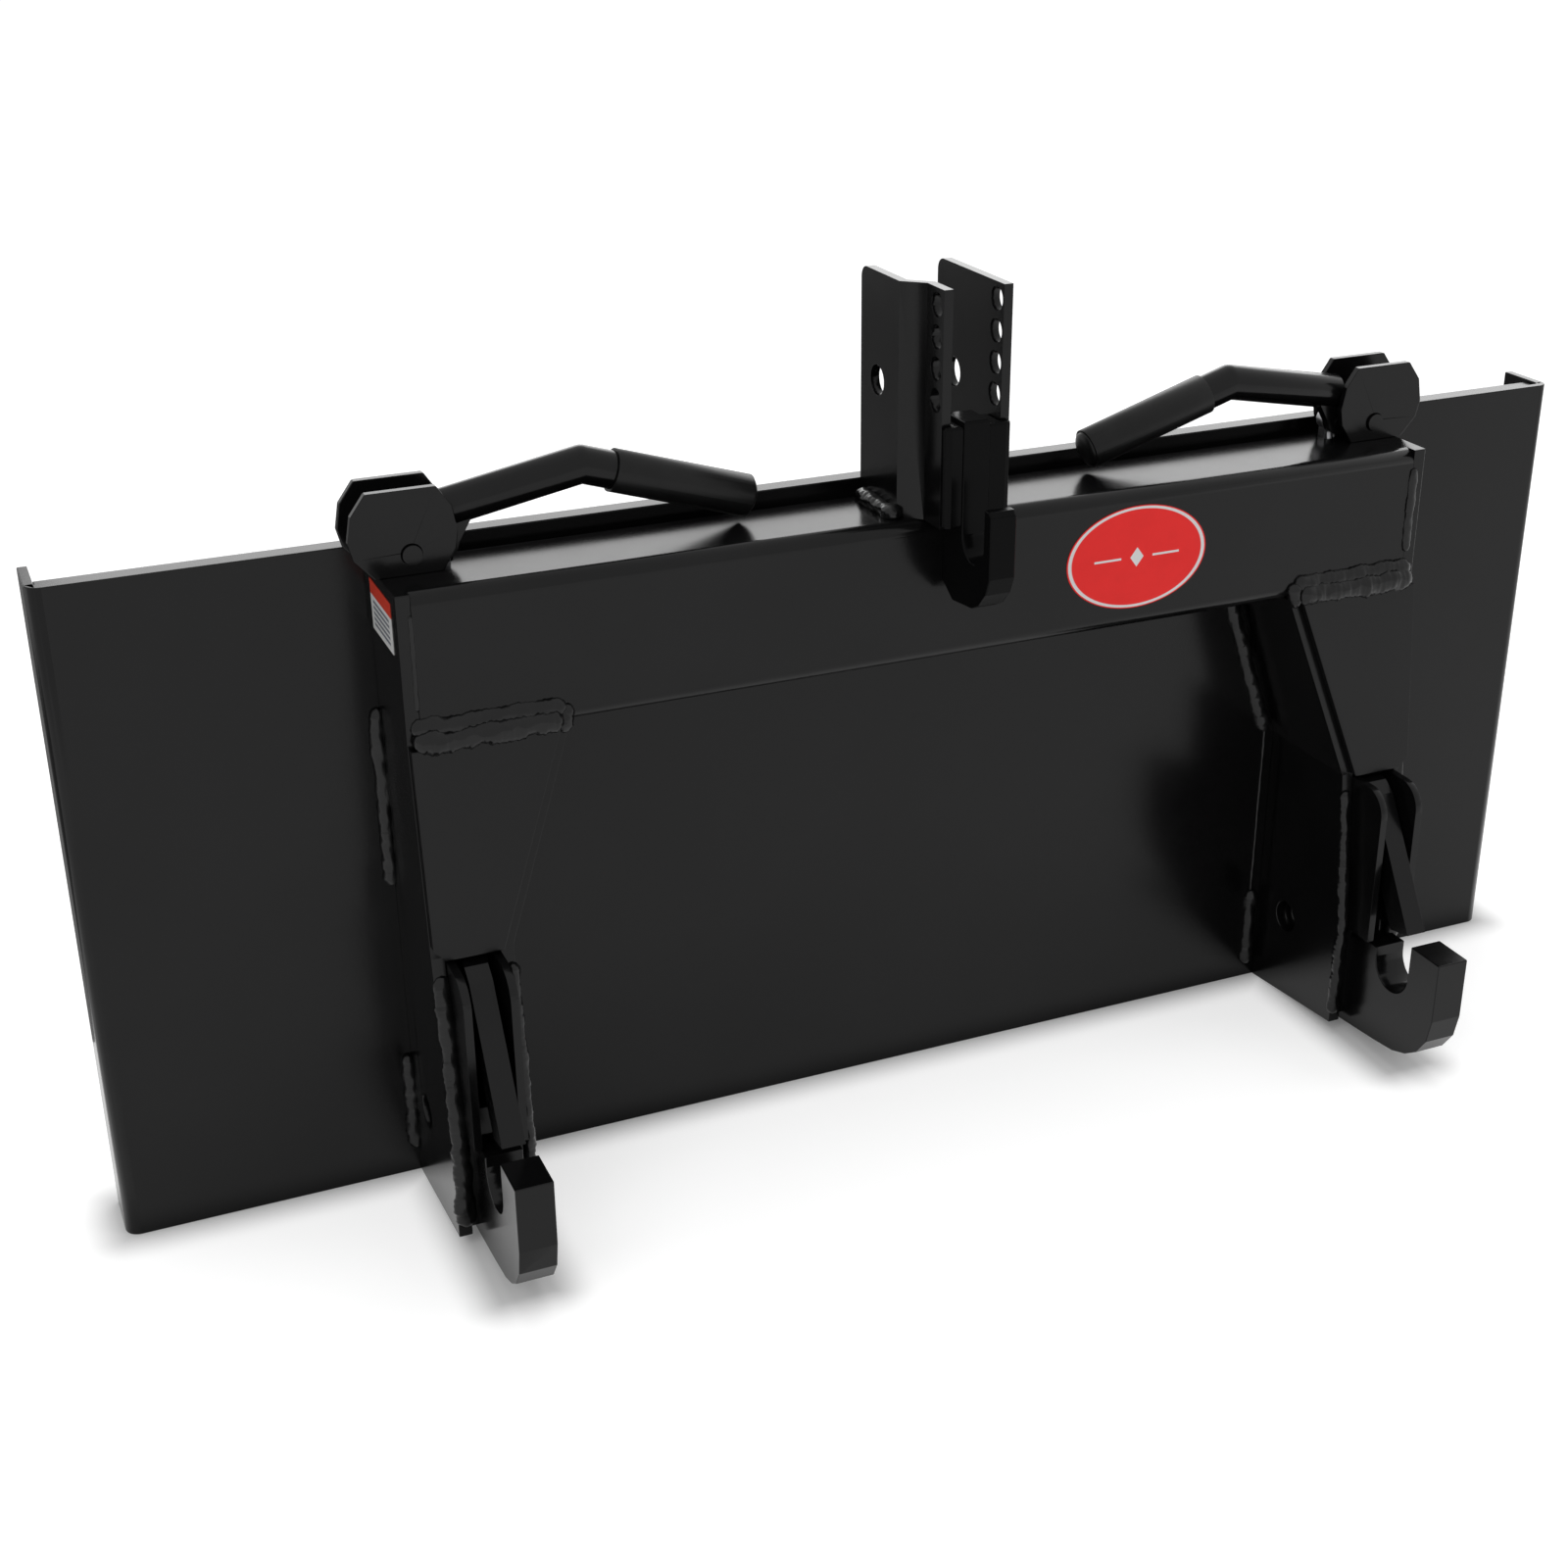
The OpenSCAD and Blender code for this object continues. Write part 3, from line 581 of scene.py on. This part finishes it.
class HITCH_OT_badge(bpy.types.Operator):
    """Adds the plain red oval badge with its pale rim"""
    bl_idname = "hitch.badge"
    bl_label = "Badge"

    def execute(self, context):
        badge = context.scene.hitch_badge
        front = BEAM_LOW[1]
        finish = Finish("badge print")
        x, _, z = finish.axes()
        across, level = abs(x - badge.offset), abs(z - badge.level)
        round_x, round_z = (x - badge.offset) / (badge.width / 2), (z - badge.level) / (badge.height / 2)
        reach = (round_x ** 2 + round_z ** 2) ** 0.5
        rim = reach.ramp(0.925, 0.94) - reach.ramp(0.975, 0.985)
        dash = 1 - level.ramp(0.0007, 0.0009)
        dash = dash * across.ramp(0.0125, 0.0127) * (1 - across.ramp(0.034, 0.0342))
        dot = 1 - (across + level * 0.75).ramp(0.0052, 0.0055)
        scuff = finish.noise(45.0, 4.0, 0.6)
        red = finish.blend(scuff.ramp(0.3, 0.8), rgba(badge.red), rgba(badge.red, 0.94))
        finish.set(Base_Color=finish.blend(rim.most(dash).most(dot), red, rgba(badge.rim)),
                   Roughness=0.28 + scuff * 0.1, Specular_IOR_Level=0.25)

        def oval(bm):
            bmesh.ops.create_circle(bm, cap_ends=True, segments=96, radius=0.5)
            face = bmesh.ops.extrude_face_region(bm, geom=list(bm.faces))
            lifted = [part for part in face["geom"] if isinstance(part, bmesh.types.BMVert)]
            bmesh.ops.translate(bm, vec=(0, 0, 0.00035), verts=lifted)
            bmesh.ops.scale(bm, vec=(badge.width, badge.height, 1.0), verts=bm.verts)
            bmesh.ops.rotate(bm, matrix=Matrix.Rotation(math.radians(90), 3, "X"), verts=bm.verts)
            bmesh.ops.translate(bm, vec=(badge.offset, front - 0.00005, badge.level), verts=bm.verts)
            bmesh.ops.recalc_face_normals(bm, faces=bm.faces)

        new_piece("beam_badge", oval, finish.material)
        return {"FINISHED"}


class HITCH_OT_label(bpy.types.Operator):
    """Adds the plain two colour label on the outer face of the left leg"""
    bl_idname = "hitch.label"
    bl_label = "Side Label"

    def execute(self, context):
        face_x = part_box("left_outer_side")[0][0]
        low, high = 0.4215, 0.4555
        near, far = PLATE_Y - 0.062, PLATE_Y - 0.008
        finish = Finish("label print")
        _, y, z = finish.axes()
        head = z.ramp(0.4455, 0.4457)
        scuff = finish.noise(*DUST)
        field = finish.blend(scuff.ramp(0.3, 0.8), (0.8, 0.8, 0.79, 1), (0.74, 0.74, 0.74, 1))
        row = abs(((z - 0.4245) / 0.0076).sin_wave())
        bar = row.ramp(0.68, 0.74) * z.ramp(0.4248, 0.425) * (1 - z.ramp(0.4425, 0.4427))
        bar = bar * y.ramp(near + 0.006, near + 0.0063) * (1 - y.ramp(far - 0.0063, far - 0.006))
        field = finish.blend(bar, field, (0.12, 0.13, 0.17, 1))
        finish.set(Base_Color=finish.blend(head, field, (0.66, 0.05, 0.025, 1)), Roughness=0.32 + scuff * 0.1)

        def card(bm):
            bmesh.ops.create_cube(bm, size=1.0)
            bmesh.ops.scale(bm, vec=(0.0003, far - near, high - low), verts=bm.verts)
            middle = (face_x - 0.0002, (far + near) / 2, (low + high) / 2)
            bmesh.ops.translate(bm, vec=middle, verts=bm.verts)

        new_piece("side_label", card, finish.material)
        return {"FINISHED"}


class HITCH_OT_stage(bpy.types.Operator):
    """Sets up the pale floor, the soft lamps and the camera"""
    bl_idname = "hitch.stage"
    bl_label = "Stage"

    def execute(self, context):
        scene = context.scene
        look = scene.hitch_stage
        self.camera(scene)
        self.floor(scene, look)
        self.lamps(scene, look)
        self.world(scene, look)
        scene.view_settings.view_transform = "Standard"
        return {"FINISHED"}

    def camera(self, scene):
        """The camera, built from its angles."""
        turn, tilt, roll = CAMERA_TURN, CAMERA_TILT, CAMERA_ROLL
        back = Vector((math.sin(turn) * math.cos(tilt), -math.cos(turn) * math.cos(tilt), math.sin(tilt)))
        side = Vector((0, 0, 1)).cross(back).normalized()
        up = back.cross(side)
        right = side * math.cos(roll) + up * math.sin(roll)
        top = up * math.cos(roll) - side * math.sin(roll)
        data = bpy.data.cameras.new("photo camera")
        data.sensor_width = SENSOR_WIDTH
        data.sensor_fit = "HORIZONTAL"
        data.lens = FOCAL_LENGTH / PICTURE_WIDTH * SENSOR_WIDTH
        data.clip_end = 50
        camera = bpy.data.objects.new("photo camera", data)
        camera.matrix_world = Matrix((*zip(right, top, back, CAMERA_PLACE), (0, 0, 0, 1)))
        scene.collection.objects.link(camera)
        scene.camera = camera

    def sheet(self, scene, name, half, place, finish):
        """A level sheet for the stage."""
        bm = bmesh.new()
        bmesh.ops.create_grid(bm, x_segments=1, y_segments=1, size=1.0)
        bmesh.ops.scale(bm, vec=(half[0], half[1], 1), verts=bm.verts)
        bmesh.ops.translate(bm, vec=place, verts=bm.verts)
        mesh = bpy.data.meshes.new(name)
        bm.to_mesh(mesh)
        bm.free()
        mesh.materials.append(finish.material)
        sheet = bpy.data.objects.new(name, mesh)
        scene.collection.objects.link(sheet)
        return sheet

    def floor(self, scene, look):
        """The pale floor, with the white that the camera sees on it, faded to a painted shadow near the
        object.
        """
        finish = Finish("pale floor")
        grain = finish.noise(3.0, 2.0)
        finish.set(Base_Color=finish.blend(grain, rgba(look.floor), rgba(look.floor, 0.99)), Roughness=0.9,
                   Specular_IOR_Level=0.0)
        # The white fades away within a few centimetres of the plate and the legs: a painted shadow band
        # around their footprint, inside which the lamps' own shadow on the floor also shows
        near = self.reach(finish, 0, (PLATE_Y + BOX_HIGH[1]) / 2, PLATE_HALF, (BOX_HIGH[1] - PLATE_Y) / 2)
        hook_front = BOX_LOW[1] + 0.035
        for s, _ in SIDES:
            leg_x = HITCH_X + s * (LEG_OUT - 0.028)
            near = near.least(self.reach(finish, leg_x, (hook_front + PLATE_Y) / 2, 0.018,
                                         (PLATE_Y - hook_front) / 2))
        # Painted shadow: no added white at the footprint, the full amount 34 mm away, and a little more white
        # far off
        glow_fading_to_painted_shadow = near.ramp(-0.012, 0.034) * look.glow_fading_to_painted_shadow + near.ramp(0.3, 3.0) * (look.far_glow - look.glow_fading_to_painted_shadow)
        seen = finish.make("ShaderNodeBsdfPrincipled", {}, {
            "Base Color": rgba(look.floor), "Roughness": 0.9,
            "Emission Color": finish.blend(glow_fading_to_painted_shadow, BLACK, WHITE), "Emission Strength": 1.0,
            "Specular IOR Level": 0.0})
        both = finish.make("ShaderNodeMixShader", {},
                           {0: finish.seen(), 1: finish.shader.outputs[0], 2: seen.outputs[0]})
        finish.join(both.outputs[0], finish.output.inputs["Surface"])
        floor = self.sheet(scene, "floor", (12.0, 12.0), (0, 0, 0), finish)

    def reach(self, finish, x, y, half_x, half_y):
        """Distance on the floor from a rectangle."""
        place = finish.axes()
        across = (abs(place[0] - x) - half_x).most(0)
        deep = (abs(place[1] - y) - half_y).most(0)
        return (across * across + deep * deep) ** 0.5

    def lamps(self, scene, look):
        """Three soft lamps, and a wide panel behind, where the top of the beam mirrors it."""
        for name, (place, width, share) in LAMPS.items():
            lamp = self.lamp(scene, name, place, (0, 0, 0.25), look.lamp * share)
            lamp.data.shape = "DISK"
            lamp.data.size = width
            lamp.visible_glossy = False
        panel = self.lamp(scene, "back panel", (1.15, 2.35, 1.32), (0.05, 0, 0.46), look.back_lamp)
        panel.data.shape = "RECTANGLE"
        panel.data.size = 3.4
        panel.data.size_y = 1.5
        panel.visible_camera = panel.visible_diffuse = False
        self.card(scene)

    def lamp(self, scene, name, place, target, power):
        """An area lamp turned towards a point."""
        data = bpy.data.lights.new(name, "AREA")
        data.energy = power
        lamp = bpy.data.objects.new(name, data)
        turn = (Vector(target) - Vector(place)).to_track_quat("-Z", "Y").to_matrix().to_4x4()
        lamp.matrix_world = Matrix.Translation(place) @ turn
        scene.collection.objects.link(lamp)
        return lamp

    def card(self, scene):
        """A dark card on the floor behind, that only the gloss of the left-hand faces mirrors."""
        finish = Finish("dark card")
        cloud = finish.noise(2.0, 2.0)
        finish.set(Base_Color=finish.blend(cloud, (0.22, 0.22, 0.22, 1), (0.28, 0.28, 0.28, 1)),
                   Roughness=0.9)
        card = self.sheet(scene, "dark card", (1.3, 1.5), (-1.55, 1.85, 0.004), finish)
        card.visible_camera = card.visible_diffuse = card.visible_shadow = False

    def world(self, scene, look):
        """White where it is seen, and a softer sky as a light on the object."""
        world = bpy.data.worlds.new("studio")
        scene.world = world
        tree = Tree(world)
        sky, white = (tree.make("ShaderNodeBackground", {}, {"Color": WHITE, "Strength": strength})
                      for strength in (look.sky, 1.0))
        mix = tree.make("ShaderNodeMixShader", {}, {0: tree.seen(), 1: sky.outputs[0], 2: white.outputs[0]})
        tree.make("ShaderNodeOutputWorld", {}, {"Surface": mix.outputs[0]})


class HITCH_PT_panel(bpy.types.Panel):
    """Lists the steps in the sidebar"""
    bl_idname = "HITCH_PT_panel"
    bl_label = "Hitch Adapter"
    bl_space_type = "VIEW_3D"
    bl_region_type = "UI"
    bl_category = "Hitch Adapter"

    def draw(self, context):
        for step in STEPS:
            self.layout.operator(step.bl_idname)


STEPS = (HITCH_OT_stage, HITCH_OT_coat, HITCH_OT_beads, HITCH_OT_grip_ends, HITCH_OT_badge, HITCH_OT_label)
GROUPS = (HitchFinish, HitchBadge, HitchStage)


def register():
    for group in GROUPS:
        bpy.utils.register_class(group)
    bpy.types.Scene.hitch_finish = bpy.props.PointerProperty(type=HitchFinish)
    bpy.types.Scene.hitch_badge = bpy.props.PointerProperty(type=HitchBadge)
    bpy.types.Scene.hitch_stage = bpy.props.PointerProperty(type=HitchStage)
    for step in STEPS + (HITCH_PT_panel,):
        bpy.utils.register_class(step)


def unregister():
    for step in reversed(STEPS + (HITCH_PT_panel,)):
        bpy.utils.unregister_class(step)
    del bpy.types.Scene.hitch_stage
    del bpy.types.Scene.hitch_badge
    del bpy.types.Scene.hitch_finish
    for group in reversed(GROUPS):
        bpy.utils.unregister_class(group)


def main():
    register()
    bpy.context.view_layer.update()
    bpy.ops.hitch.stage()
    bpy.ops.hitch.coat()
    bpy.ops.hitch.beads()
    bpy.ops.hitch.grip_ends()
    bpy.ops.hitch.badge()
    bpy.ops.hitch.label()


if __name__ == "__main__":
    main()
